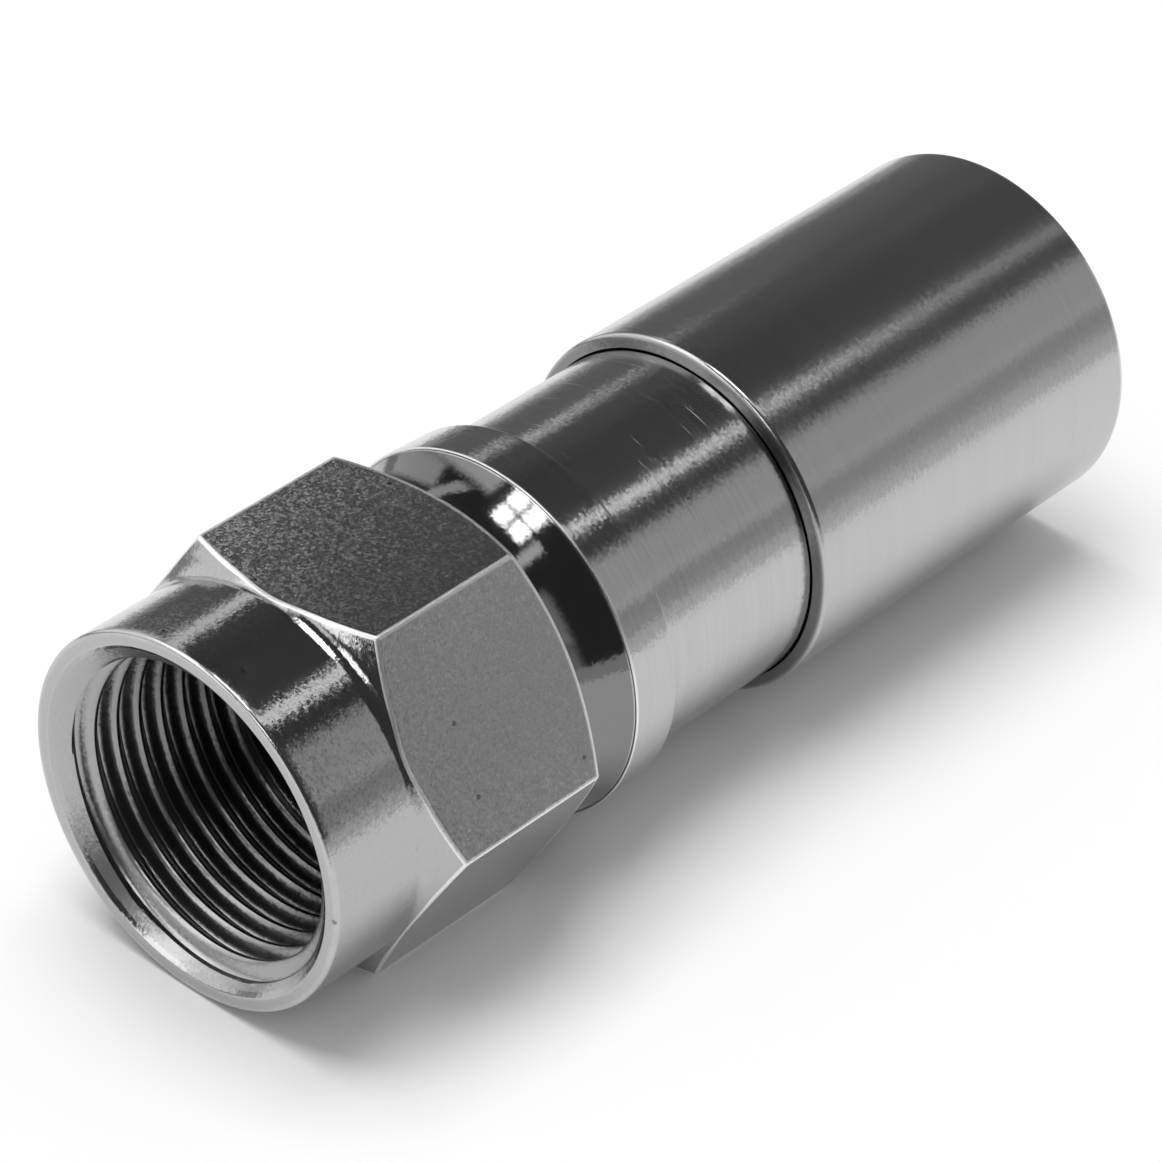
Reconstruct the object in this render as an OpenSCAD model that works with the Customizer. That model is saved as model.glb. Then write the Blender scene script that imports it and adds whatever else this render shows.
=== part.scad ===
// Compression F connector for RG-6 coaxial cable, lying on one flat of its nut.
// All pieces but the nut's hexagon are turned parts on one axis. Sections are drawn
// as [radius, station] points, with stations counted from the nut's mouth.

/* [Coupling nut] */
// Distance across the flats of the hexagon
nut_flats = 11; // [10.95:0.05:12.5]
// Length of the nut from its mouth to its rear face
nut_len = 9.35; // [9.2:0.05:12]
// Outer diameter of the round collar round the mouth
collar_d = 10.9; // [10.7:0.05:10.94]
// Length of the collar up to the fillet at the foot of the hexagon
collar_len = 2.95; // [1:0.05:4]
// Fillet between the collar and the front chamfer
collar_fillet = 0.5; // [0.1:0.05:0.8]
// Rounding of the outer edge of the mouth
lip_round = 0.1; // [0.05:0.01:0.2]
// Angle of both hexagon chamfers from the end faces
chamfer_angle = 32; // [20:1:45]
// Diameter of the countersink at the face of the mouth
countersink_d = 10.1; // [9.7:0.05:10.4]

/* [Thread] */
// Major diameter of the 3/8-32 thread
thread_d = 9.525; // [9.4:0.005:9.6]
// Thread pitch, 32 to the inch
thread_pitch = 0.79375; // [0.7:0.00625:0.9]
// Station where the thread runs out into its relief groove
thread_end = 6.25; // [4:0.05:6.4]
// Depth of the relief groove below the major diameter
relief_depth = 0.1; // [0.05:0.01:0.12]

/* [Nut retention] */
// Thickness of the web that the nut turns on
web_t = 0.8; // [0.6:0.05:1.1]
// Running clearance between the web's hole and the post's neck
web_clearance = 0.08; // [0.02:0.01:0.1]
// Axial play of the web behind the post's flange
web_play = 0.06; // [0.03:0.01:0.1]
// Gap between the nut's rear face and the body
nut_gap = 0.12; // [0.05:0.01:0.3]
// Wall of the skirt behind the web, at the middle of a flat
skirt_wall = 0.5; // [0.35:0.05:0.6]

/* [Inner post] */
// Diameter of the post's flange
flange_d = 8.4; // [8:0.05:9]
// Thickness of the post's flange
flange_t = 0.85; // [0.6:0.05:1.1]
// Diameter of the neck that is pressed into the body
neck_d = 6.6; // [6.4:0.05:7]
// Bore that takes the cable's dielectric
post_bore_d = 4.9; // [4.7:0.05:5.2]
// Outer diameter of the plain shank under the braid
shank_d = 5.7; // [5.5:0.05:6]
// Length of the shank behind the hub, with its barbs
shank_len = 8.7; // [6:0.1:12]
// Diameter of the barbs' crests
barb_d = 6.3; // [6.1:0.05:6.5]
// Length of one barb
barb_len = 0.9; // [0.6:0.05:1.2]
// Number of barbs
barb_count = 3; // [1:1:4]
// Width of the chamfers at the flange's edge and the bore's mouths
post_chamfer = 0.15; // [0.05:0.01:0.2]

/* [Connector body] */
// Diameter of the body's front face, where the flare starts
flare_d = 10.1; // [9.9:0.05:10.3]
// Length of the flare up to the rim
flare_len = 1.75; // [1:0.05:3]
// Diameter of the rim's front edge
rim_d = 10.96; // [10.7:0.01:10.98]
// Length of the rim
rim_len = 1.65; // [1:0.05:3]
// Fall of the rim's diameter from its front to its rear edge
rim_taper = 0.12; // [0:0.01:0.2]
// Outer diameter of the tube behind the rim
tube_d = 10.04; // [9.9:0.02:10.2]
// Length of the tube behind the rim
tube_len = 12.15; // [10:0.05:14]
// Wall of the tube
tube_wall = 0.47; // [0.45:0.01:0.6]
// Wall at the tube's rear edge, where its mouth is coned out
mouth_wall = 0.2; // [0.15:0.01:0.35]
// Length of the coned mouth
mouth_len = 1.2; // [0.6:0.1:2]
// Station depth of the hub behind the rim's front edge
hub_len = 1.4; // [0.8:0.05:2]
// Overlap of the press fit between post and hub, on the radius
press_overlap = 0.01; // [0.005:0.005:0.02]
// Height of the ribs that bite the jacket inside the tube
rib_height = 0.12; // [0.05:0.01:0.15]
// Length of one rib
rib_len = 0.8; // [0.5:0.05:1.2]
// Number of ribs
rib_count = 4; // [1:1:5]

/* [Seal ring] */
// Thickness of the rubber ring between nut and body
seal_t = 0.7; // [0.5:0.05:0.8]
// Squeeze of the seal ring on the body's nose, on the radius
seal_squeeze = 0.02; // [0.01:0.005:0.03]
// Gap between the seal ring and the nut
seal_gap = 0.06; // [0.03:0.01:0.1]

/* [Compression sleeve] */
// Wall of the sleeve round the tube
sleeve_wall = 0.37; // [0.3:0.01:0.39]
// Travel of the sleeve when the connector is crimped
sleeve_travel = 5.9; // [4:0.1:7]
// Gap that stays between the closed sleeve and the rim
sleeve_stop = 0.1; // [0.05:0.05:0.3]
// Running clearance between sleeve and tube, on the radius
sleeve_clearance = 0.05; // [0.02:0.01:0.1]
// Length of the sleeve
sleeve_len = 13.5; // [12.5:0.05:16]
// Share of the wall that the rounding of the sleeve's front edge takes
sleeve_front_share = 0.95; // [0.3:0.05:0.95]
// Rounding of the sleeve's rear edge
sleeve_rear_round = 0.12; // [0.05:0.01:0.3]
// Thickness of the lip round the cable's hole
lip_t = 1.1; // [0.8:0.05:1.3]
// Diameter of the hole for the cable's jacket
cable_d = 7.6; // [7.3:0.05:7.8]
// Chamfer of the cable's hole
cable_chamfer = 0.3; // [0.1:0.05:0.4]

/* [Grip ring] */
// Gap between the grip ring and the tube it is pushed into, on the radius
grip_clearance = 0.1; // [0.05:0.01:0.15]
// How far the ring's nose stands inside the tube's mouth
grip_entry = 0.4; // [0.2:0.05:0.8]
// Depth of the ring's seat in the sleeve's lip
grip_seat = 0.45; // [0.3:0.05:0.5]
// Length of the ring's tapered nose
grip_nose_len = 1.1; // [0.6:0.1:1.6]
// Fall of the nose's radius to its tip
grip_nose_fall = 0.35; // [0.2:0.05:0.4]
// Number of slots that let the nose close on the jacket
grip_slots = 8; // [4:1:12]
// Width of one slot
grip_slot_w = 0.5; // [0.3:0.05:0.8]
// Length of the slots
grip_slot_len = 3.4; // [2:0.1:4.5]
// Height of the teeth inside the nose
tooth_height = 0.12; // [0.05:0.01:0.15]
// Length of one tooth
tooth_len = 0.7; // [0.4:0.05:1]
// Number of teeth
tooth_count = 3; // [1:1:4]

/* [Hidden] */
$fn = 96;

// Depth of the internal thread's profile for a given pitch, 5/8 of the sharp height
THREAD_DEPTH_RATIO = 0.541266;
// Steps in a quarter turn of a rounded edge
ROUND_STEPS = 6;
// How far cutting shapes run past what they cut
PAST = 1;

axis_z = nut_flats / 2;
corner_r = nut_flats / 2 / cos(30);
collar_r = collar_d / 2;
thread_minor_r = thread_d / 2 - THREAD_DEPTH_RATIO * thread_pitch;
relief_r = thread_d / 2 + relief_depth;
neck_r = neck_d / 2;
web_r = neck_r + web_clearance;
skirt_r = nut_flats / 2 - skirt_wall;

// Stations along the axis, from the nut's mouth
body_front = nut_len + nut_gap;
web_rear = body_front - seal_t - seal_gap;
web_front = web_rear - web_t;
flange_rear = web_front - web_play;
flange_front = flange_rear - flange_t;
rim_front = body_front + flare_len;
rim_rear = rim_front + rim_len;
hub_rear = rim_front + hub_len;
tube_rear = rim_rear + tube_len;
shank_rear = hub_rear + shank_len;
sleeve_front = rim_rear + sleeve_stop + sleeve_travel;
sleeve_rear = sleeve_front + sleeve_len;
lip_front = sleeve_rear - lip_t;
seat_rear = lip_front + grip_seat;
grip_front = tube_rear - grip_entry;

rim_r = rim_d / 2;
tube_r = tube_d / 2;
tube_bore_r = tube_r - tube_wall;
hub_bore_r = neck_r - press_overlap;
sleeve_bore_r = tube_r + sleeve_clearance;
sleeve_r = sleeve_bore_r + sleeve_wall;
sleeve_front_round = sleeve_wall * sleeve_front_share;
cable_r = cable_d / 2;
grip_r = tube_bore_r - grip_clearance;
// The nose carries the seal ring, which stays clear of the skirt by the same gap as of the web
nose_r = skirt_r - seal_gap - seal_t + seal_squeeze;

// A section turned round the connector's axis
module turned(section) {
    rotate([0, 90, 0]) rotate_extrude() polygon(section);
}

// Points of an arc round [r, x], from one angle to the other
function arc(r, x, size, from, to) =
    [for (i = [0:ROUND_STEPS]) let (a = from + (to - from) * i / ROUND_STEPS) [r + size * cos(a), x + size * sin(a)]];

// Saw teeth along a wall, listed from the rear: each runs from one radius at its rear to another at its front
function saw_teeth(front, pitch, count, rear_r, front_r) =
    [for (i = [count - 1:-1:0]) each [[rear_r, front + (i + 1) * pitch], [front_r, front + i * pitch]]];

// Puts the connector down on one flat of the nut, with the middle of its length at zero
module placed() {
    translate([-sleeve_rear / 2, 0, axis_z]) children();
}

// Outline that the lathe leaves on the hexagonal bar
function nut_envelope() =
    let (
        slope = tan(chamfer_angle),
        swing = 90 - chamfer_angle,
        fillet_end_r = collar_r + collar_fillet * (1 - cos(swing)),
        fillet_end_x = collar_len + collar_fillet * sin(swing),
        over_r = corner_r + PAST
    )
    concat(
        [[0, 0]],
        arc(collar_r - lip_round, lip_round, lip_round, -90, 0),
        arc(collar_r + collar_fillet, collar_len, collar_fillet, 180, 180 - swing),
        [[over_r, fillet_end_x + (over_r - fillet_end_r) * slope]],
        [[over_r, nut_len - (over_r - nut_flats / 2) * slope]],
        [[nut_flats / 2, nut_len], [0, nut_len]]
    );

// Hollow of the nut: countersink, threaded bore, relief groove, web's hole and skirt
function nut_hollow() =
    let (countersink_r = countersink_d / 2)
    [
        [0, -PAST],
        [countersink_r + PAST, -PAST],
        [thread_minor_r, countersink_r - thread_minor_r],
        [thread_minor_r, thread_end],
        [relief_r, thread_end + relief_r - thread_minor_r],
        [relief_r, web_front],
        [web_r, web_front],
        [web_r, web_rear],
        [skirt_r, web_rear],
        [skirt_r, nut_len + PAST],
        [0, nut_len + PAST]
    ];

module coupling_nut() {
    color("silver") placed() difference() {
        intersection() {
            // Turned by half a side, so that a flat and not a corner faces down
            rotate([0, 90, 0]) rotate([0, 0, 30]) linear_extrude(nut_len) circle(r = corner_r, $fn = 6);
            turned(nut_envelope());
        }
        turned(nut_hollow());
    }
}

module nut_seal_ring() {
    color("dimgray") placed()
        rotate([0, 90, 0]) translate([0, 0, body_front - seal_t / 2]) rotate_extrude()
            translate([nose_r - seal_squeeze + seal_t / 2, 0]) circle(d = seal_t);
}

module inner_post() {
    flange_r = flange_d / 2;
    bore_r = post_bore_d / 2;
    barbs_front = shank_rear - barb_count * barb_len;
    color("gainsboro") placed() turned(concat(
        [
            [bore_r + post_chamfer, flange_front],
            [bore_r, flange_front + post_chamfer],
            [bore_r, shank_rear]
        ],
        saw_teeth(barbs_front, barb_len, barb_count, shank_d / 2, barb_d / 2),
        [
            [shank_d / 2, barbs_front],
            [shank_d / 2, hub_rear],
            [neck_r, hub_rear],
            [neck_r, flange_rear],
            [flange_r, flange_rear],
            [flange_r, flange_front + post_chamfer],
            [flange_r - post_chamfer, flange_front]
        ]
    ));
}

module connector_body() {
    nose_front = web_rear + seal_gap;
    ribs_front = tube_rear - mouth_len - rib_count * rib_len;
    color("silver") placed() turned(concat(
        [
            [hub_bore_r, nose_front],
            [nose_r, nose_front],
            [nose_r, body_front],
            [flare_d / 2, body_front],
            [rim_r, rim_front],
            [rim_r - rim_taper / 2, rim_rear],
            [tube_r, rim_rear],
            [tube_r, tube_rear],
            [tube_r - mouth_wall, tube_rear],
            [tube_bore_r, tube_rear - mouth_len]
        ],
        // The ribs stand in the wall's thickness, so that the grip ring passes their crests
        saw_teeth(ribs_front, rib_len, rib_count, tube_bore_r + rib_height, tube_bore_r),
        [
            [tube_bore_r, hub_rear],
            [hub_bore_r, hub_rear]
        ]
    ));
}

module compression_sleeve() {
    color("silver") placed() turned(concat(
        arc(sleeve_r - sleeve_front_round, sleeve_front + sleeve_front_round, sleeve_front_round, -90, 0),
        arc(sleeve_r - sleeve_rear_round, sleeve_rear - sleeve_rear_round, sleeve_rear_round, 0, 90),
        [
            [cable_r + cable_chamfer, sleeve_rear],
            [cable_r, sleeve_rear - cable_chamfer],
            [cable_r, seat_rear],
            [grip_r, seat_rear],
            [grip_r, lip_front],
            [sleeve_bore_r, lip_front],
            [sleeve_bore_r, sleeve_front]
        ]
    ));
}

module grip_ring() {
    teeth_front = grip_front + tooth_len;
    color("ivory") placed() difference() {
        turned(concat(
            [
                [cable_r, grip_front],
                [grip_r - grip_nose_fall, grip_front],
                [grip_r, grip_front + grip_nose_len],
                [grip_r, seat_rear],
                [cable_r, seat_rear]
            ],
            [[cable_r, teeth_front + tooth_count * tooth_len]],
            saw_teeth(teeth_front, tooth_len, tooth_count, cable_r - tooth_height, cable_r)
        ));
        for (i = [0:grip_slots - 1])
            rotate([360 / grip_slots * i, 0, 0])
                translate([grip_front - PAST, -grip_slot_w / 2, 0])
                    cube([grip_slot_len + PAST, grip_slot_w, grip_r + PAST]);
    }
}

coupling_nut();
nut_seal_ring();
inner_post();
connector_body();
compression_sleeve();
grip_ring();
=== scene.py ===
# %% [markdown]
# A compression F connector, made in Blender around its CAD frame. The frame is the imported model: it says
# where every piece is and what it rides on. Each visible metal piece is worked out again here as a smooth
# surface, because the frame's triangles are too coarse for mirror-like plating.

# %% The frame
import math

import bmesh
import bpy
import numpy as np
from mathutils import Matrix, Vector


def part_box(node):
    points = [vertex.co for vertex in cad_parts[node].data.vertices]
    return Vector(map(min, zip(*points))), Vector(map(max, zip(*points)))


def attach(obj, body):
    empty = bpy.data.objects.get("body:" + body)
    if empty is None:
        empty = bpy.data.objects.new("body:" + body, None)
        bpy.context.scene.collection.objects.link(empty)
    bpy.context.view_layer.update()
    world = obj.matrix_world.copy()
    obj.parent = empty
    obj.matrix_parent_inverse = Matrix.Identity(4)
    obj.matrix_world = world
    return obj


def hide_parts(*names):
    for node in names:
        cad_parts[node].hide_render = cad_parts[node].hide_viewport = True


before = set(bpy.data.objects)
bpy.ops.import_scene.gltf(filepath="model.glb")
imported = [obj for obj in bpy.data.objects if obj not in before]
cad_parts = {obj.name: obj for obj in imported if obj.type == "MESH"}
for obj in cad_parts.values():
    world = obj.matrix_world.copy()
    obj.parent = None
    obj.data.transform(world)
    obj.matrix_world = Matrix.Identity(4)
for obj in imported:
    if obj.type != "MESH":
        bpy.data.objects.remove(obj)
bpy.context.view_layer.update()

# %% [markdown]
# Every length below is in millimetres, as on a drawing, and is turned into metres only when a mesh is made.
# Stations run along the connector's axis from the nut's mouth to the cable's end. The frame gives the ends of
# every piece, so only the sizes inside a piece are written here.

# %% Sizes
MM = 0.001


def frame_box(node):
    """Lowest and highest corners of a CAD node at rest, in millimetres."""
    low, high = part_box(node)
    return np.array(low) / MM, np.array(high) / MM


nut_low, nut_high = frame_box("coupling_nut")
body_low, body_high = frame_box("connector_body")
post_low, post_high = frame_box("inner_post")
sleeve_low, sleeve_high = frame_box("compression_sleeve")
MOUTH_X = nut_low[0]
AXIS_Z = (nut_low[2] + nut_high[2]) / 2
NUT_FLATS = nut_high[2] - nut_low[2]
NUT_LEN = nut_high[0] - MOUTH_X
BODY_REAR = body_high[0] - MOUTH_X
SLEEVE_FRONT = sleeve_low[0] - MOUTH_X
SLEEVE_REAR = sleeve_high[0] - MOUTH_X
SLEEVE_R = (sleeve_high[2] - sleeve_low[2]) / 2
POST_FRONT = post_low[0] - MOUTH_X
POST_REAR = post_high[0] - MOUTH_X
RIM_R = (body_high[2] - body_low[2]) / 2
print("nut %.2f across flats, %.2f long" % (NUT_FLATS, NUT_LEN))
print("sleeve radius %.2f, stations %.2f to %.2f" % (SLEEVE_R, SLEEVE_FRONT, SLEEVE_REAR))

# %% [markdown]
# The camera looks down on the connector from the side of its mouth, through a long lens, so that the far end
# shrinks only a little.

# %% Camera
CAMERA_AZIMUTH = math.radians(-48.95)
CAMERA_ELEVATION = math.radians(35.98)
CAMERA_ROLL = math.radians(1.72)
CAMERA_DISTANCE = 135.6
CAMERA_LENS = 154.4
CAMERA_NEAR = 5
CAMERA_AIM = (-1.35, -0.24, AXIS_Z)


def add_camera():
    """Camera on a sphere round its aim: azimuth turns it about Z from -Y, elevation lifts it, roll turns
    its frame."""
    back = Vector((
        math.sin(CAMERA_AZIMUTH) * math.cos(CAMERA_ELEVATION),
        -math.cos(CAMERA_AZIMUTH) * math.cos(CAMERA_ELEVATION),
        math.sin(CAMERA_ELEVATION),
    ))
    camera = bpy.data.objects.new("camera", bpy.data.cameras.new("camera"))
    camera.data.lens = CAMERA_LENS
    camera.data.clip_start = CAMERA_NEAR * MM
    camera.location = (Vector(CAMERA_AIM) + CAMERA_DISTANCE * back) * MM
    facing = back.to_track_quat("Z", "Y").to_matrix()
    camera.rotation_euler = (facing @ Matrix.Rotation(CAMERA_ROLL, 3, "Z")).to_euler()
    bpy.context.scene.collection.objects.link(camera)
    bpy.context.scene.camera = camera


add_camera()

# %% [markdown]
# All metal pieces are grids: rows follow a section from point to point, and columns go round the axis. A
# closed section gives a closed skin. The grid repeats its first column as its last, and the two are welded
# afterwards, which also lets the rows of a screw thread climb by one pitch on the way round.

# %% From a grid to a mesh
WELD = 2e-7
SHARP_ANGLE = math.radians(32)


def grid_faces(rows, columns):
    """Corners of every cell of a grid whose last row joins its first: four neighbours, listed so they face
    outwards."""
    row = np.arange(rows)[:, None]
    column = np.arange(columns - 1)[None, :]
    below = (row + 1) % rows
    here = row * columns + column
    under = below * columns + column
    corners = [here, under, under + 1, here + 1]
    return np.stack(np.broadcast_arrays(*corners), axis=-1).reshape(-1, 4)


def skin(name, station, radius, turn, wear, bar=0.0):
    """Mesh of points (station, radius * cos(turn), radius * sin(turn)) about the axis. Two values go with
    each point: wear, and bar, which is 1 where the skin of the raw bar is left and falls to -1 at the
    thread's inner end."""
    station, radius, turn, wear, bar = np.broadcast_arrays(station, radius, turn, wear, bar)
    points = [station + MOUTH_X, radius * np.cos(turn), radius * np.sin(turn) + AXIS_Z]
    points = np.stack(points, axis=-1) * MM
    mesh = bpy.data.meshes.new(name)
    mesh.from_pydata(points.reshape(-1, 3).tolist(), [], grid_faces(*station.shape).tolist())
    for attribute, values in (("wear", wear), ("bar", bar)):
        layer = mesh.attributes.new(attribute, "FLOAT", "POINT")
        layer.data.foreach_set("value", values.astype(np.float32).ravel())
    weld(mesh)
    mesh.polygons.foreach_set("use_smooth", np.ones(len(mesh.polygons), dtype=bool))
    mesh.set_sharp_from_angle(angle=SHARP_ANGLE)
    piece = bpy.data.objects.new(name, mesh)
    bpy.context.scene.collection.objects.link(piece)
    print(name, "vertices", len(mesh.vertices), "faces", len(mesh.polygons))
    return piece


def weld(mesh):
    """Merges points closer than the weld distance, drops cells that closed up, and points the rest
    outwards."""
    work = bmesh.new()
    work.from_mesh(mesh)
    bmesh.ops.remove_doubles(work, verts=work.verts, dist=WELD)
    bmesh.ops.dissolve_degenerate(work, dist=WELD, edges=work.edges)
    bmesh.ops.recalc_face_normals(work, faces=work.faces)
    open_edges = sum(not edge.is_manifold for edge in work.edges)
    work.to_mesh(mesh)
    work.free()
    print(mesh.name, "open edges", open_edges)


# %% [markdown]
# A turned piece has no truly sharp edge. Each corner of a section is given with the radius it was broken
# to, and is replaced by an arc: a short one catches a thin line of light, which is most of what makes metal
# look real.

# %% Rounded sections
ARC_STEPS = 6
FADE = 0.06


def broken_corner(corner, to_before, to_after, half, size):
    """Arc of radius size that touches both lines at a corner: its centre lies on the bisector, and its
    points are the two touching radii blended by sines, which keeps them at one distance from the centre."""
    reach = size / math.tan(half)
    centre = corner + (to_before + to_after) / np.linalg.norm(to_before + to_after) * size / math.sin(half)
    start = corner + to_before * reach - centre
    end = corner + to_after * reach - centre
    swing = math.pi - 2 * half
    t = np.linspace(0, 1, ARC_STEPS + 1)[:, None]
    return centre + (np.sin((1 - t) * swing) * start + np.sin(t * swing) * end) / math.sin(swing)


def rounded_section(corners):
    """Section as arrays of station, radius and wear, from corners given as (station, radius, broken to,
    wear). A point without wear stands close on either side of every arc, so that wear and shading end
    there."""
    table = np.array(corners, dtype=float)
    places, sizes, wears = table[:, :2], table[:, 2], table[:, 3]
    onward = np.roll(places, -1, axis=0) - places
    length = np.linalg.norm(onward, axis=1)
    onward /= length[:, None]
    backward = -np.roll(onward, 1, axis=0)
    half = np.arccos(np.clip(np.sum(onward * backward, axis=1), -1, 1)) / 2
    reach = sizes / np.tan(np.maximum(half, 1e-6))
    free = length - reach - np.roll(reach, -1)
    margin_after = np.minimum(FADE, free / 3)
    margin_before = np.roll(margin_after, 1)
    parts = []
    for i, size in enumerate(sizes):
        if not size:
            parts.append([[*places[i], wears[i]]])
            continue
        arc = broken_corner(places[i], backward[i], onward[i], half[i], size)
        start = places[i] + backward[i] * (reach[i] + margin_before[i])
        end = places[i] + onward[i] * (reach[i] + margin_after[i])
        parts += [[[*start, 0]], np.column_stack([arc, np.full(len(arc), wears[i])]), [[*end, 0]]]
    return np.concatenate(parts).T


# %% [markdown]
# A piece turned on a lathe is its section carried once round the axis.

# %% Turned pieces
TURN_COLUMNS = 288


def turned(name, corners):
    """Surface of revolution: every point of the rounded section goes round the axis at its own radius."""
    station, radius, wear = rounded_section(corners)
    turn = np.linspace(0, 2 * math.pi, TURN_COLUMNS + 1)
    return skin(name, station[:, None], radius[:, None], turn[None, :], wear[:, None])


# %% [markdown]
# The coupling nut is turned from hexagon bar. The lathe cuts a round collar, a small fillet and a chamfer,
# and the flats are what it leaves of the bar, so each flat ends in a curve. The grid follows those curves:
# at every angle the section runs up to the bar's own radius at that angle and along it, so the edges are
# crisp with few cells.

# %% The hexagon
CORNER_BREAK = 0.07
FLAT_COLUMNS = 40
CORNER_COLUMNS = 6
APOTHEM = NUT_FLATS / 2
SIDES = 6


def hexagon_columns():
    """Angles round the nut: even on a flat but closing up by a sine towards its ends, and close on the
    corners."""
    touch = math.atan((APOTHEM - CORNER_BREAK) * math.tan(math.pi / SIDES) / APOTHEM)
    even = np.linspace(-1, 1, FLAT_COLUMNS + 1)
    flat = touch * (0.4 * even + 0.6 * np.sin(even * math.pi / 2))
    corner = np.linspace(touch, 2 * math.pi / SIDES - touch, CORNER_COLUMNS + 1)[1:-1]
    side = np.concatenate([flat, corner]) + math.pi / SIDES
    turn = (side[None, :] + 2 * math.pi / SIDES * np.arange(SIDES)[:, None]).ravel()
    return np.append(turn, turn[0] + 2 * math.pi), touch


def hexagon_radius(turn, touch):
    """Distance of a rounded hexagon from its centre: the apothem over the cosine of the angle from the
    flat's middle, and near a corner the far crossing of that direction with the corner's circle."""
    off = np.abs(np.mod(turn, 2 * math.pi / SIDES) - math.pi / SIDES)
    flat = APOTHEM / np.cos(off)
    centre = (APOTHEM - CORNER_BREAK) / math.cos(math.pi / SIDES)
    from_corner = math.pi / SIDES - off
    inside = np.maximum(CORNER_BREAK ** 2 - (centre * np.sin(from_corner)) ** 2, 0)
    rounded = centre * np.cos(from_corner) + np.sqrt(inside)
    return np.where(off > touch, rounded, flat), off


NUT_TURN, TOUCH = hexagon_columns()
NUT_BAR, OFF_FLAT = hexagon_radius(NUT_TURN, TOUCH)
print("nut columns", len(NUT_TURN), "corner radius %.3f" % NUT_BAR.max())

# %% [markdown]
# The lathe's cut is a radius for every station, and the bar is a radius for every angle. Where the two are
# equal the chamfer ends, so one formula and its inverse place the curved edges exactly, with no cutting of
# meshes.

# %% Outside of the nut
COLLAR_R = 5.45
COLLAR_LEN = 2.95
COLLAR_FILLET = 0.5
LIP_BREAK = 0.1
CHAMFER = math.radians(32)
EDGE_BREAK = 0.09
REAR_FACE_R = APOTHEM - 0.07
SLOPE = math.tan(CHAMFER)
FILLET_END = COLLAR_LEN + COLLAR_FILLET * math.cos(CHAMFER)
FILLET_END_R = COLLAR_R + COLLAR_FILLET * (1 - math.sin(CHAMFER))


def chamfer_radius(station):
    """Radius that the lathe leaves: the collar, then the fillet's quarter circle, then a straight cone."""
    into = np.clip(station - COLLAR_LEN, 0, COLLAR_FILLET)
    fillet = COLLAR_R + COLLAR_FILLET - np.sqrt(COLLAR_FILLET ** 2 - into ** 2)
    cone = FILLET_END_R + (station - FILLET_END) / SLOPE
    return np.where(station < FILLET_END, fillet, cone)


def chamfer_station(radius):
    """Station at which the lathe's cut reaches a radius, the inverse of chamfer_radius."""
    under = np.sqrt(np.maximum(COLLAR_FILLET ** 2 - (COLLAR_R + COLLAR_FILLET - radius) ** 2, 0))
    cone = FILLET_END + (radius - FILLET_END_R) * SLOPE
    return np.where(radius < FILLET_END_R, COLLAR_LEN + under, cone)


def between(start, end, rows):
    """Rows from one array to another, without the last, closing up by a cosine towards both ends."""
    t = (1 - np.cos(np.arange(rows)[:, None] / rows * math.pi)) / 2
    return start + (end - start) * t


def bent(start, corner, end, rows):
    """Rows along a parabola that leaves start towards corner and arrives at end from it."""
    t = np.arange(rows)[:, None] / rows
    return (1 - t) ** 2 * start + 2 * t * (1 - t) * corner + t ** 2 * end


def nut_outside():
    """Outer skin as (station, radius, wear) rows: lip, collar, fillet and chamfer up to the bar, flat, rear
    chamfer."""
    ones = np.ones_like(NUT_BAR)
    angle = np.linspace(0, math.pi / 2, ARC_STEPS + 1)[:, None]
    lip = (LIP_BREAK * (1 - np.sin(angle)) * ones, (COLLAR_R - LIP_BREAK + LIP_BREAK * np.cos(angle)) * ones)
    lip = (lip[0][::-1], lip[1][::-1])
    edge = chamfer_station(NUT_BAR)
    cut_start = edge - EDGE_BREAK * math.sin(CHAMFER)
    flat_start = edge + EDGE_BREAK
    rear_edge = NUT_LEN - (NUT_BAR - REAR_FACE_R) * SLOPE
    rear_cut = rear_edge + EDGE_BREAK / 2
    rear_cut_r = REAR_FACE_R + (NUT_LEN - rear_cut) / SLOPE
    collar = between(LIP_BREAK * ones, COLLAR_LEN * ones, 6)[1:]
    rise = between(COLLAR_LEN * ones, cut_start, 14)
    flat = between(flat_start, rear_edge - EDGE_BREAK, 14)
    stations = [
        lip[0], collar, rise, bent(cut_start, edge, flat_start, 6), flat,
        bent(rear_edge - EDGE_BREAK, rear_edge, rear_cut, 6), between(rear_cut, NUT_LEN * ones, 4),
    ]
    radii = [
        lip[1], COLLAR_R + 0 * collar, chamfer_radius(rise),
        bent(chamfer_radius(cut_start), NUT_BAR, NUT_BAR, 6),
        NUT_BAR + 0 * flat, bent(NUT_BAR, NUT_BAR, rear_cut_r, 6), between(rear_cut_r, REAR_FACE_R * ones, 4),
    ]
    rubbed = [0.35, 0, 0, 1, 0, 0.7, 0]
    wear = [level + 0 * rows for level, rows in zip(rubbed, radii)]
    wear[4] = np.clip((OFF_FLAT - TOUCH) / (math.pi / SIDES - TOUCH) + 1, 0, 1) ** 8 + 0 * flat
    bar = [float(i in (3, 4, 5)) + 0 * rows for i, rows in enumerate(radii)]
    return [np.concatenate(parts) for parts in (stations, radii, wear, bar)]


outside = nut_outside()
print("rows on the nut's outside", len(outside[0]))
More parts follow.
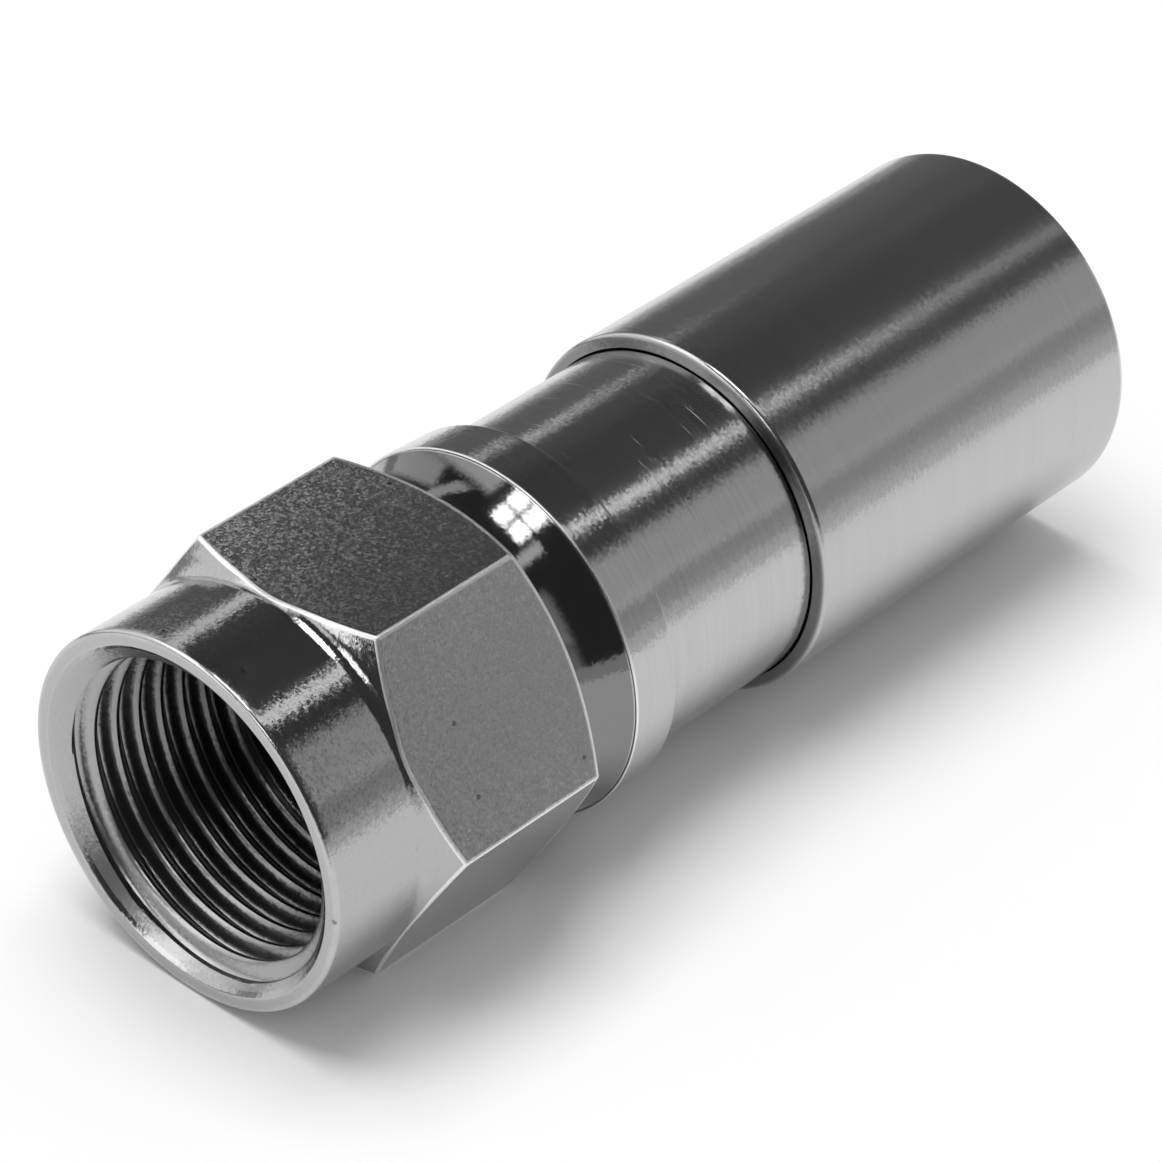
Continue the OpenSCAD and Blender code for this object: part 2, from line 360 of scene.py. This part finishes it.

# %% [markdown]
# The thread is 3/8-32: 32 turns to the inch, right-handed. A unified thread has a flat crest, straight 60
# degree flanks and a narrow root. Here it is rounder than the standard: a smooth step joins a crest a tenth
# of the pitch wide to the root, with the pitch and both diameters kept. That shape, where the thread starts
# and the countersink's slope are judged, not measured. Its rows climb with the helix, so a crest is
# a row of the grid all the way round. The countersink and the relief groove are simply wherever they cut
# deeper.

# %% Inside of the nut
PITCH = 25.4 / 32
THREAD_MAJOR_R = 9.525 / 2
THREAD_MINOR_R = THREAD_MAJOR_R - 0.541266 * PITCH
THREAD_END = 6.25
COUNTERSINK_R = 5.05
RELIEF_R = THREAD_MAJOR_R + 0.1
CREST_HALF = 0.05
ROOT_START = 0.44
THREAD_ROWS = 16
THREAD_START = 0.33
MOUTH_BREAK = 0.04
COUNTERSINK_SLOPE = 1.2
WEB_FRONT = 7.91
WEB_REAR = 8.71
WEB_R = 3.38
SKIRT_R = 5.0


def thread_rows():
    """Rows of the threaded bore from the relief groove out to the mouth: each climbs by one pitch in a turn
    and is held between the two ends; its radius is the thread's, the countersink's or the groove's,
    whichever cuts deepest."""
    inner_end = THREAD_END + RELIEF_R - THREAD_MINOR_R
    turns = NUT_TURN / (2 * math.pi) + THREAD_START
    rows = math.ceil((inner_end / PITCH + turns[-1] + 1) * THREAD_ROWS)
    climb = np.arange(rows, -1, -1)[:, None] / THREAD_ROWS - math.ceil(turns[-1]) + turns
    station = np.clip(climb * PITCH, MOUTH_BREAK, inner_end)
    phase = np.mod(station / PITCH - turns + 0.5, 1) - 0.5
    height = np.clip((np.abs(phase) - CREST_HALF) / (ROOT_START - CREST_HALF), 0, 1)
    height = height ** 2 * (3 - 2 * height)
    thread = THREAD_MINOR_R + (THREAD_MAJOR_R - THREAD_MINOR_R) * height
    cut = np.maximum(COUNTERSINK_R - COUNTERSINK_SLOPE * station, THREAD_MINOR_R + station - THREAD_END)
    edge = bent(MOUTH_BREAK + 0 * turns, 0 * turns, 0 * turns, 4)[1:]
    edge_start = COUNTERSINK_R - COUNTERSINK_SLOPE * MOUTH_BREAK
    edge_end = COUNTERSINK_R + MOUTH_BREAK
    edge_r = bent(edge_start + 0 * turns, COUNTERSINK_R + 0 * turns, edge_end + 0 * turns, 4)[1:]
    last = np.zeros((1, len(turns)))
    stations = [station, edge, last]
    radii = [np.maximum(thread, cut), edge_r, last + edge_end]
    wear = np.concatenate([0 * station, 0.3 + 0 * edge, last])
    depth = np.concatenate(stations)
    return depth, np.concatenate(radii), wear, -depth / THREAD_END


def nut_rings():
    """Plain rings inside the nut: rear face, skirt, web with its hole, and relief groove."""
    rings = rounded_section([
        (NUT_LEN, REAR_FACE_R - 0.02, 0, 0), (NUT_LEN, SKIRT_R, 0.03, 0), (WEB_REAR, SKIRT_R, 0, 0),
        (WEB_REAR, WEB_R, 0.03, 0), (WEB_FRONT, WEB_R, 0.03, 0), (WEB_FRONT, RELIEF_R, 0, 0),
    ])
    return [values[:, None] + 0 * NUT_TURN for values in (*rings, 0 * rings[0])]


def coupling_nut():
    """The nut's closed skin: outside, rings and thread, row after row, back to the mouth."""
    parts = [outside, nut_rings(), thread_rows()]
    station, radius, wear, bar = (np.concatenate(rows) for rows in zip(*parts))
    return skin("nut", station, radius, NUT_TURN, wear, bar)


nut = coupling_nut()

# %% [markdown]
# The body is one turned piece: a nose that carries the seal ring, a polished flare, a rim, and the thin
# tube that the sleeve slides on. The flare is hollow, as a formed lip is, so it gathers the lamps into
# short patches, and a tiny step ends it.

# %% Connector body
NOSE_FRONT = WEB_REAR + 0.06
NOSE_R = 4.26
HUB_BORE_R = 3.29
FLARE_FRONT = 9.47
FLARE_FRONT_R = 5.05
FLARE_NECK = 0.12
RIM_STEP = 0.07
RIM_FRONT = 11.22
RIM_REAR = 12.87
RIM_REAR_R = 5.42
TUBE_R = 5.02
TUBE_BORE_R = 4.55
HUB_REAR = 12.62
MOUTH_WALL = 0.2
MOUTH_LEN = 1.2
RIB_LEN = 0.8
RIB_HEIGHT = 0.12
RIBS = 4
FLARE_POINTS = 15


def flare():
    """Corners along the flare: a short straight neck, then a parabola out to just under the rim."""
    t = np.linspace(0, 1, FLARE_POINTS)
    station = FLARE_FRONT + FLARE_NECK + (RIM_FRONT - FLARE_FRONT - FLARE_NECK) * t
    radius = FLARE_FRONT_R + (RIM_R - RIM_STEP - FLARE_FRONT_R) * t ** 2
    return [(s, r, 0, 0) for s, r in zip(station, radius)]


def saw_teeth(front, length, count, rear_r, front_r):
    """Corners of saw teeth along a wall, listed from the rear: each runs straight from one radius to
    another."""
    teeth = []
    for i in range(count - 1, -1, -1):
        teeth += [(front + (i + 1) * length, rear_r, 0, 0), (front + i * length, front_r, 0, 0)]
    return teeth


connector_body = turned("body", [
    (NOSE_FRONT, HUB_BORE_R, 0, 0), (NOSE_FRONT, NOSE_R, 0.05, 0), (FLARE_FRONT, NOSE_R, 0, 0),
    (FLARE_FRONT, FLARE_FRONT_R, 0.03, 0.5), *flare(), (RIM_FRONT, RIM_R, 0.03, 1),
    (RIM_REAR, RIM_REAR_R, 0.05, 0), (RIM_REAR, TUBE_R, 0.04, 0), (BODY_REAR, TUBE_R, 0.05, 0),
    (BODY_REAR, TUBE_R - MOUTH_WALL, 0.03, 0), (BODY_REAR - MOUTH_LEN, TUBE_BORE_R, 0, 0),
    *saw_teeth(BODY_REAR - MOUTH_LEN - RIBS * RIB_LEN, RIB_LEN, RIBS, TUBE_BORE_R + RIB_HEIGHT, TUBE_BORE_R),
    (HUB_REAR, TUBE_BORE_R, 0, 0), (HUB_REAR, HUB_BORE_R, 0, 0),
])

# %% [markdown]
# The compression sleeve is a drawn tube. Its front edge has a steep bevel with a rounded shoulder, and its
# rear edge turns in as a lip round the cable's hole.

# %% Compression sleeve
SLEEVE_WALL = 0.37
SLEEVE_BORE_R = SLEEVE_R - SLEEVE_WALL
FRONT_BEVEL = 0.13
FRONT_DROP = 0.35
FRONT_ROUND = 0.14
REAR_ROUND = 0.12
LIP_FRONT = SLEEVE_REAR - 1.1
SEAT_REAR = LIP_FRONT + 0.45
GRIP_R = TUBE_BORE_R - 0.1
CABLE_R = 3.8
CABLE_CHAMFER = 0.3

sleeve = turned("sleeve", [
    (SLEEVE_FRONT, SLEEVE_BORE_R, 0, 0), (SLEEVE_FRONT, SLEEVE_R - FRONT_DROP, 0.01, 0),
    (SLEEVE_FRONT + FRONT_BEVEL, SLEEVE_R, FRONT_ROUND, 0),
    (SLEEVE_REAR, SLEEVE_R, REAR_ROUND, 0.8), (SLEEVE_REAR, CABLE_R + CABLE_CHAMFER, 0.04, 0.8),
    (SLEEVE_REAR - CABLE_CHAMFER, CABLE_R, 0.04, 0.3), (SEAT_REAR, CABLE_R, 0, 0), (SEAT_REAR, GRIP_R, 0, 0),
    (LIP_FRONT, GRIP_R, 0, 0), (LIP_FRONT, SLEEVE_BORE_R, 0, 0),
])

# %% [markdown]
# Deep inside the nut stands the post: its flange holds the nut, and its barbed shank goes under the cable's
# braid.

# %% Inner post
FLANGE_R = 4.2
FLANGE_REAR = 7.85
POST_BORE_R = 2.45
POST_CHAMFER = 0.15
NECK_R = 3.3
SHANK_R = 2.85
BARB_R = 3.15
BARB_LEN = 0.9
BARBS = 3

post = turned("post", [
    (POST_FRONT, POST_BORE_R, POST_CHAMFER, 0.6), (POST_REAR, POST_BORE_R, 0.05, 0),
    *saw_teeth(POST_REAR - BARBS * BARB_LEN, BARB_LEN, BARBS, SHANK_R, BARB_R),
    (HUB_REAR, SHANK_R, 0, 0), (HUB_REAR, NECK_R, 0, 0), (FLANGE_REAR, NECK_R, 0, 0),
    (FLANGE_REAR, FLANGE_R, 0.04, 0), (POST_FRONT, FLANGE_R, POST_CHAMFER, 0.6),
])

# %% [markdown]
# The seal is a round rubber ring behind the nut's web. A torus is a circle carried round another, so it
# needs no more than its two radii.

# %% Seal ring
seal_low, seal_high = frame_box("nut_seal_ring")
SEAL_T = seal_high[0] - seal_low[0]
SEAL_MIDDLE = (seal_high[0] + seal_low[0]) / 2 - MOUTH_X
SEAL_R = (seal_high[2] - seal_low[2]) / 2 - SEAL_T / 2
SEAL_STEPS = 32


def torus():
    """Ring: station is the middle plus half the thickness times a sine, radius the ring's plus the same
    cosine."""
    angle = np.linspace(0, 2 * math.pi, SEAL_STEPS, endpoint=False)[:, None]
    turn = np.linspace(0, 2 * math.pi, TURN_COLUMNS + 1)[None, :]
    station = SEAL_MIDDLE + SEAL_T / 2 * np.sin(angle)
    return skin("seal", station, SEAL_R + SEAL_T / 2 * np.cos(angle), turn, 0.0)


seal = torus()

# %% [markdown]
# Each piece takes the place of the CAD node it was drawn from and moves with that node's body. The plastic
# grip ring keeps its CAD shape: it is seen only through the cable's hole.

# %% Pieces on their bodies
PIECES = {
    "nut": (nut, "coupling_nut", "coupling_nut", "nut_plating"),
    "body": (connector_body, "connector_body", "connector_body", "body_plating"),
    "sleeve": (sleeve, "compression_sleeve", "compression_sleeve", "sleeve_plating"),
    "post": (post, "inner_post", "connector_body", "post_plating"),
    "seal": (seal, "nut_seal_ring", "connector_body", "seal_rubber"),
}
for name, (piece, node, carrier, finish) in PIECES.items():
    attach(piece, carrier)
    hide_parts(node)
    print(name, "rides on", carrier)

# %% [markdown]
# Finishes are arithmetic on a few patterns. To keep that readable, this small class lets a node's output be
# used in an ordinary Python expression: every operation adds a Math node.

# %% Shader arithmetic


class Signal:
    """One output of a shader node; arithmetic with numbers or other signals adds Math nodes to its tree."""

    def __init__(self, tree, socket=None):
        self.tree, self.socket = tree, socket

    def node(self, kind, settings=(), inputs=(), output=0):
        """Adds a node: its settings first, then its inputs as values or signals. Gives one of its outputs."""
        made = self.tree.nodes.new(kind)
        for name, value in dict(settings).items():
            setattr(made, name, value)
        for key, value in dict(inputs).items():
            if isinstance(value, Signal):
                self.tree.links.new(value.socket, made.inputs[key])
            else:
                made.inputs[key].default_value = value
        return Signal(self.tree, made.outputs[output] if made.outputs else None)

    def math(self, operation, *values):
        return self.node("ShaderNodeMath", {"operation": operation}, dict(enumerate(values)))

    def __add__(self, other):
        return self.math("ADD", self, other)

    def __sub__(self, other):
        return self.math("SUBTRACT", self, other)

    def __rsub__(self, other):
        return self.math("SUBTRACT", other, self)

    def __mul__(self, other):
        return self.math("MULTIPLY", self, other)

    def __pow__(self, other):
        return self.math("POWER", self, other)

    __radd__ = __add__
    __rmul__ = __mul__

    def rise(self, at, soft):
        """Smooth step from 0 to 1 centred on a value and as wide as soft."""
        settings = {"interpolation_type": "SMOOTHSTEP"}
        return self.node("ShaderNodeMapRange", settings, {0: self, 1: at - soft / 2, 2: at + soft / 2})

    def within(self, low, high, soft):
        """1 between two values and 0 outside them, with soft edges."""
        return self.rise(low, soft) * (1 - self.rise(high, soft))

    def mix(self, low, high):
        """Colour that goes from low to high as this signal goes from 0 to 1."""
        return self.node("ShaderNodeMix", {"data_type": "RGBA"}, {0: self, 6: low, 7: high}, output=2)


def grey(level):
    """Neutral colour of a brightness."""
    return (level, level, level, 1)


# %% [markdown]
# Every finish starts from the place on the object in millimetres, so its grain has a real size on every
# piece.

# %% Patterns on a piece
def new_material(name):
    """Empty material as (material, its surface shader node, a signal to start from)."""
    material = bpy.data.materials.new(name)
    material.use_nodes = True
    return material, material.node_tree.nodes["Principled BSDF"], Signal(material.node_tree)


def place(start):
    """Object coordinates of the surface, in metres."""
    return start.node("ShaderNodeTexCoord", output="Object")


def part(point, axis):
    """One coordinate of a place: X, Y or Z."""
    return point.node("ShaderNodeSeparateXYZ", inputs={0: point}, output=axis)


def mark(start, name):
    """Value that the mesh carries under a name, such as its wear."""
    return start.node("ShaderNodeAttribute", {"attribute_name": name}, output="Fac")


def stretched(point, along, across):
    """Coordinates scaled so that a pattern has that many cells to the millimetre along the axis and across
    it."""
    scale = Vector((along, across, across)) / MM
    return point.node("ShaderNodeMapping", {"vector_type": "POINT"}, {0: point, 3: scale})


def noise(point, detail=2, roughness=0.5):
    """Soft random pattern between 0 and 1, one cell to a unit of its coordinates."""
    inputs = {"Vector": point, "Scale": 1, "Detail": detail, "Roughness": roughness}
    return point.node("ShaderNodeTexNoise", inputs=inputs)


def set_surface(shader, **sockets):
    """Sets or links the shader's sockets, named as in Blender with underscores for spaces."""
    for name, value in sockets.items():
        socket = shader.inputs[name.replace("_", " ")]
        if isinstance(value, Signal):
            value.tree.links.new(value.socket, socket)
        else:
            socket.default_value = value


def bump(height, depth, lean=None):
    """Normal for a height between 0 and 1 of a real depth in millimetres, over a leaned normal if one is
    given."""
    inputs = {"Strength": 1, "Distance": depth * MM, "Height": height}
    return height.node("ShaderNodeBump", inputs={**inputs, "Normal": lean} if lean else inputs)


# %% [markdown]
# The nut is taken to be nickel over machined brass: a satin skin with a fine grain that sparkles, tiny dark
# pits here and there, faint cutter marks, and edges rubbed bright. The wear value of the mesh says where
# the edges are. Deeper in the threaded bore the colour is darkened as painted shade, following the mesh's bar
# value.

# %% Nut plating
NICKEL = 0.50
RUBBED = 0.88


def crystals(point, cells, tilt):
    """Surface normal leaned a little at random in every small cell, as the crystals of a plated skin are."""
    cell = {"Vector": stretched(point, cells, cells), "Scale": 1}
    facet = point.node("ShaderNodeTexVoronoi", inputs=cell, output="Color")
    lean = facet.node("ShaderNodeVectorMath", {"operation": "SUBTRACT"}, {0: facet, 1: (0.5, 0.5, 0.5)})
    lean = lean.node("ShaderNodeVectorMath", {"operation": "SCALE"}, {0: lean, "Scale": tilt})
    normal = point.node("ShaderNodeNewGeometry", output="Normal")
    return lean.node("ShaderNodeVectorMath", {"operation": "ADD"}, {0: normal, 1: lean})


def nut_finish():
    """Nickel whose crystals lean the normal and vary the brightness; pits darken it and wear roughens and
    pales it. Deeper in the bore it is darkened as painted shade."""
    material, shader, start = new_material("nut_plating")
    point = place(start)
    grain = noise(stretched(point, 13, 13), detail=3, roughness=0.7)
    patches = noise(stretched(point, 0.7, 0.7), detail=3)
    pits = start.node("ShaderNodeTexVoronoi", inputs={"Vector": stretched(point, 0.8, 0.8), "Scale": 1})
    pit = 1 - pits.rise(0.06, 0.03)
    wear = mark(start, "wear")
    zone = mark(start, "bar")
    bar = zone.rise(0.5, 1)
    # Painted shade: the deeper in the bore, the darker the colour.
    painted_depth_shade = (0 - zone).rise(0.3, 1.2)
    bore = zone.math("LESS_THAN", zone, -0.02)
    rubbed = (wear * (0.6 + 0.8 * patches)).rise(0.5, 0.6)
    plain = ((grain - 0.5) * (0.5 + 0.5 * bar) + 0.5).mix(grey(NICKEL * 0.75), grey(NICKEL * 1.25))
    # Painted shade deep in the bore, down to a quarter of the nickel's colour.
    plain = painted_depth_shade.mix(plain, grey(NICKEL * 0.25))
    bright = rubbed.mix(plain, grey(RUBBED))
    colour = (pit * 0.7).mix(bright, grey(0.12))
    lean = crystals(point, 13, 0.035 + 0.035 * bar + 0.06 * painted_depth_shade)
    height = grain - 0.6 * pit
    set_surface(
        shader, Metallic=1.0, Base_Color=colour,
        Roughness=0.07 + 0.05 * patches + 0.06 * bar + 0.28 * rubbed + 0.16 * bore,
        Normal=bump(height, 0.003, lean),
    )
    return material


# %% [markdown]
# The body's flare and rim are polished. The flare is given a darker skin than plain nickel because it has
# to look dark; what darkens a real one isn't known. The tube behind them keeps the fine rings of the
# turning tool, which run round the axis: the pattern is squeezed along the axis and drawn out across it.

# %% Body plating
def turning_lines(point, lines, drawn):
    """Rings of uneven depth: noise with many cells to the millimetre along the axis and few across it."""
    return noise(stretched(point, lines, drawn), detail=3, roughness=0.65)


DARKENED_LEVEL = 0.45


def body_finish():
    """Nickel darkened on the flare and ringed behind it, told apart by the place along the axis."""
    material, shader, start = new_material("body_plating")
    point = place(start)
    station = part(point, "X")
    tube = station.rise((RIM_REAR + MOUTH_X) * MM, 0.1 * MM)
    flare_part = 1 - station.rise((RIM_FRONT + MOUTH_X - 0.03) * MM, 0.04 * MM)
    lines = turning_lines(point, 7, 0.10)
    fine = turning_lines(point, 26, 0.3)
    scores = turning_lines(point, 14, 0.22).rise(0.68, 0.08)
    wear = mark(start, "wear")
    colour = (0.5 * fine + 0.5 * lines).mix(grey(NICKEL * 0.80), grey(NICKEL * 1.20))
    # The flare's colour is darkened; what darkens the real one isn't known.
    darkened_skin = flare_part.mix(colour, grey(NICKEL * DARKENED_LEVEL))
    edged = wear.mix(darkened_skin, grey(RUBBED))
    height = (0.5 * fine + 0.5 * lines + 0.6 * scores * tube) * (1 - 0.8 * flare_part)
    lean = crystals(point, 12, 0.035 - 0.015 * flare_part)
    set_surface(
        shader, Metallic=1.0, Base_Color=edged,
        Roughness=0.11 + 0.03 * tube + 0.06 * lines - 0.05 * flare_part + 0.2 * wear,
        Normal=bump(height, 0.0026, lean),
    )
    return material


# %% [markdown]
# The sleeve is brushed all over, with closer and rougher rings than the tube, and a slight cloudiness from
# handling. Its front bevel is darkened like the flare, as painted shade where the sleeve meets the tube.

# %% Sleeve plating
def sleeve_finish():
    """Nickel brushed round the axis, with clouds of slightly different roughness and painted shade on the
    front bevel.
    """
    material, shader, start = new_material("sleeve_plating")
    point = place(start)
    brushing = turning_lines(point, 22, 0.25)
    bands = turning_lines(point, 3, 0.05)
    clouds = noise(stretched(point, 0.35, 0.35), detail=3)
    wear = mark(start, "wear")
    colour = (0.6 * brushing + 0.4 * bands).mix(grey(NICKEL * 0.88), grey(NICKEL * 1.12))
    station = part(point, "X")
    # Painted shade: the front bevel's colour is darkened to the flare's level, for the dark ring where the
    # sleeve meets the tube.
    painted_bevel_shade = 1 - station.rise((SLEEVE_FRONT + 0.8 * FRONT_BEVEL + MOUTH_X) * MM, 0.08 * MM)
    darkened_skin = painted_bevel_shade.mix(colour, grey(NICKEL * DARKENED_LEVEL))
    edged = (wear * 0.6).mix(darkened_skin, grey(RUBBED))
    height = 0.7 * brushing + 0.3 * bands
    lean = crystals(point, 12, 0.03)
    set_surface(
        shader, Metallic=1.0, Base_Color=edged, Roughness=0.13 + 0.06 * clouds + 0.06 * brushing,
        Normal=bump(height, 0.0016, lean),
    )
    return material


# %% [markdown]
# Inside: a bright plated post, a matt rubber seal and a plastic grip ring.

# %% Post, seal and grip ring finishes
def post_finish():
    """Bright plating with turning rings."""
    material, shader, start = new_material("post_plating")
    lines = turning_lines(place(start), 14, 0.2)
    set_surface(
        shader, Metallic=1.0, Base_Color=lines.mix(grey(0.6), grey(0.72)), Roughness=0.16 + 0.14 * lines,
        Normal=bump(lines, 0.001),
    )
    return material


def seal_finish():
    """Black rubber, a little dusty, with a matt grain."""
    material, shader, start = new_material("seal_rubber")
    grain = noise(stretched(place(start), 12, 12), detail=3)
    set_surface(
        shader, Base_Color=grain.mix(grey(0.018), grey(0.05)), Roughness=0.6 + 0.2 * grain,
        Normal=bump(grain, 0.004),
    )
    return material


def grip_finish():
    """Milky acetal with a faint moulded mottle."""
    material, shader, start = new_material("grip_plastic")
    point = place(start)
    mottle = noise(stretched(point, 1.2, 1.2), detail=3)
    grain = noise(stretched(point, 15, 15), detail=2)
    set_surface(
        shader, Base_Color=mottle.mix((0.72, 0.71, 0.67, 1), (0.82, 0.81, 0.78, 1)),
        Roughness=0.38 + 0.15 * grain,
        Subsurface_Weight=0.15, Subsurface_Scale=0.0006, Normal=bump(grain, 0.002),
    )
    return material


def dress(piece, material):
    """Gives a piece one material in place of any it had."""
    piece.data.materials.clear()
    piece.data.materials.append(material)


dress(nut, nut_finish())
dress(connector_body, body_finish())
dress(sleeve, sleeve_finish())
dress(post, post_finish())
dress(seal, seal_finish())
grip_plastic = grip_finish()
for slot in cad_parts["grip_ring"].material_slots:
    slot.material = grip_plastic
print("materials", len(bpy.data.materials))

# %% [markdown]
# Polished metal shows the room more than itself, so the room is designed too. The floor is plain and pale.
# Round the connector stands a light tent, as used for shiny goods: only reflections see it. It is dark
# above, with two thin lamps, a small window overhead, a grey wall in front and pale walls to the left. Its
# panels and levels were tuned by trial for the one camera above, so they are a fitted lighting, not a
# measured studio.

# %% Floor
FLOOR_HALF = 3.0
FLOOR_COLOUR = 0.93

floor_mesh = bpy.data.meshes.new("floor")
floor_mesh.from_pydata(
    [(x * FLOOR_HALF, y * FLOOR_HALF, 0) for x, y in ((-1, -1), (1, -1), (1, 1), (-1, 1))],
    [], [(0, 1, 2, 3)],
)
floor = bpy.data.objects.new("floor", floor_mesh)
bpy.context.scene.collection.objects.link(floor)
floor_paint, floor_shader, _ = new_material("floor_paint")
set_surface(floor_shader, Base_Color=grey(FLOOR_COLOUR), Roughness=0.9, Specular_IOR_Level=0.1)
floor_mesh.materials.append(floor_paint)

# %% [markdown]
# The tent's glow is a list of soft-edged panels. Each is given as its span along the axis, from -1 to 1 on
# a ball, and the softness of its ends, then its span in degrees round the axis from +Y up over +Z, that
# softness, and its level.

# %% Light tent
TENT_R = 150
TENT_ROWS = 24
TENT_COLUMNS = 96

# Panels as (from, to along the axis), softness, (from, to round the axis in degrees), softness, brightness
PANELS = [
    ((0.45, 2), 0.15, (-10, 30), 16, 0.10),
    ((0.45, 2), 0.15, (30, 62), 16, 0.035),
    ((0.15, 0.42), 0.08, (-10, 38), 6, 0.75),
    ((-2, 0.12), 0.12, (-10, 70), 6, 1.05),
    ((-2, -0.1), 0.2, (38, 70), 6, 0.9),
    ((0.40, 2), 0.15, (128, 160), 8, 0.42),
    ((0.40, 2), 0.15, (160, 200), 20, 0.34),
    ((0.10, 0.625), 0.04, (104.5, 111.5), 3, 1.25),
    ((0.6, 0.8), 0.05, (104.5, 111.5), 4, 0.3),
    ((0.655, 2), 0.03, (30, 128), 10, 0.035),
    ((-0.17, 0.05), 0.04, (78, 88), 3.5, 6),
    ((0.08, 0.30), 0.04, (78, 88), 3.5, 6),
    ((0.08, 0.30), 0.04, (90.5, 100), 3.5, 6),
    ((-0.17, 0.05), 0.04, (90.5, 100), 3.5, 6),
    ((-0.86, -0.77), 0.05, (95, 103), 4, 4.0),
    ((-0.74, -0.64), 0.05, (95, 103), 4, 4.0),
    ((-0.86, -0.77), 0.05, (106, 115), 4, 4.0),
    ((-0.74, -0.64), 0.05, (106, 115), 4, 4.0),
    ((-0.80, -0.60), 0.05, (72, 88), 5, 1.0),
]
TENT_DARK = 0.057


def tent_shape():
    """Half ball on the floor: rows climb from the floor to the top, columns go round."""
    climb = np.linspace(0, math.pi / 2, TENT_ROWS)[:, None]
    turn = np.linspace(0, 2 * math.pi, TENT_COLUMNS + 1)[None, :]
    out = np.cos(climb)
    points = np.stack(np.broadcast_arrays(out * np.cos(turn), out * np.sin(turn), np.sin(climb)), -1)
    faces = grid_faces(TENT_ROWS, TENT_COLUMNS + 1).reshape(TENT_ROWS, TENT_COLUMNS, 4)[:-1]
    mesh = bpy.data.meshes.new("tent")
    mesh.from_pydata((points * TENT_R * MM).reshape(-1, 3).tolist(), [], faces.reshape(-1, 4).tolist())
    mesh.polygons.foreach_set("use_smooth", np.ones(len(mesh.polygons), dtype=bool))
    return bpy.data.objects.new("tent", mesh)


def glowing(name, glow):
    """Material that only glows, with the strength that a function makes from the material's start signal."""
    material = bpy.data.materials.new(name)
    material.use_nodes = True
    material.node_tree.nodes.clear()
    material.cycles.emission_sampling = "NONE"
    start = Signal(material.node_tree)
    shine = start.node("ShaderNodeEmission", inputs={"Color": grey(1), "Strength": glow(start)})
    start.node("ShaderNodeOutputMaterial", inputs={"Surface": shine})
    return material


def tent_light(start):
    """Glow of the tent's cloth: a dark level plus the panels, each a box in place along the axis and angle
    round it."""
    seen = start.node("ShaderNodeVectorMath", {"operation": "NORMALIZE"}, {0: place(start)})
    along, side, up = (part(seen, axis) for axis in "XYZ")
    angle = start.math("ARCTAN2", up, side) * math.degrees(1)
    glow = None
    for (start_x, end_x), soft_x, (start_a, end_a), soft_a, level in PANELS:
        panel = along.within(start_x, end_x, soft_x) * angle.within(start_a, end_a, soft_a) * level
        glow = panel + (TENT_DARK if glow is None else glow)
    lamp_angle = 38 + along.math("MAXIMUM", 0.5 - along, 0) * 60
    off = angle.math("ABSOLUTE", angle - lamp_angle)
    return glow + (1 - off.rise(4.5, 3)) * along.within(0.2, 0.6, 0.1) * 0.85


def strip_light(start):
    """Glow of the paper's turned-up edge: greyer behind the connector than in front of it."""
    side = part(place(start), "Y")
    return 0.62 - 0.24 * side.rise(0, 0.02)


STRIP_R = 55
STRIP_HEIGHT = 8


def strip_shape():
    """Low ring round the connector: two rows, one on the floor and one above it."""
    height = np.array([0.0, STRIP_HEIGHT])[:, None]
    turn = np.linspace(0, 2 * math.pi, TENT_COLUMNS + 1)[None, :]
    points = np.stack(np.broadcast_arrays(STRIP_R * np.cos(turn), STRIP_R * np.sin(turn), height), -1) * MM
    faces = grid_faces(2, TENT_COLUMNS + 1)[:TENT_COLUMNS]
    mesh = bpy.data.meshes.new("strip")
    mesh.from_pydata(points.reshape(-1, 3).tolist(), [], faces.tolist())
    return bpy.data.objects.new("strip", mesh)


for studio_piece, glow in ((tent_shape(), tent_light), (strip_shape(), strip_light)):
    bpy.context.scene.collection.objects.link(studio_piece)
    studio_piece.data.materials.append(glowing(studio_piece.name + "_light", glow))
    studio_piece.visible_camera = False
    studio_piece.visible_diffuse = False
    studio_piece.visible_shadow = False

# %% [markdown]
# The floor itself is lit by an even pale world and one large soft lamp, so that white comes out white and the
# connector keeps a soft shadow.

# %% World and lamp
WORLD_LEVEL = 0.50
LAMP_SIZE = 0.45
LAMP_POWER = 3.2
LAMP_PLACE = (-0.04, 0.10, 0.66)

world = bpy.data.worlds.new("studio")
bpy.context.scene.world = world
world.use_nodes = True
world.node_tree.nodes["Background"].inputs["Color"].default_value = grey(1)
world.node_tree.nodes["Background"].inputs["Strength"].default_value = WORLD_LEVEL

lamp_data = bpy.data.lights.new("soft_lamp", "AREA")
lamp_data.size = LAMP_SIZE
lamp_data.energy = LAMP_POWER
lamp = bpy.data.objects.new("soft_lamp", lamp_data)
lamp.location = LAMP_PLACE
lamp.rotation_euler = Vector(LAMP_PLACE).to_track_quat("Z", "Y").to_euler()
lamp.visible_glossy = False
bpy.context.scene.collection.objects.link(lamp)

bpy.context.scene.view_settings.view_transform = "Standard"
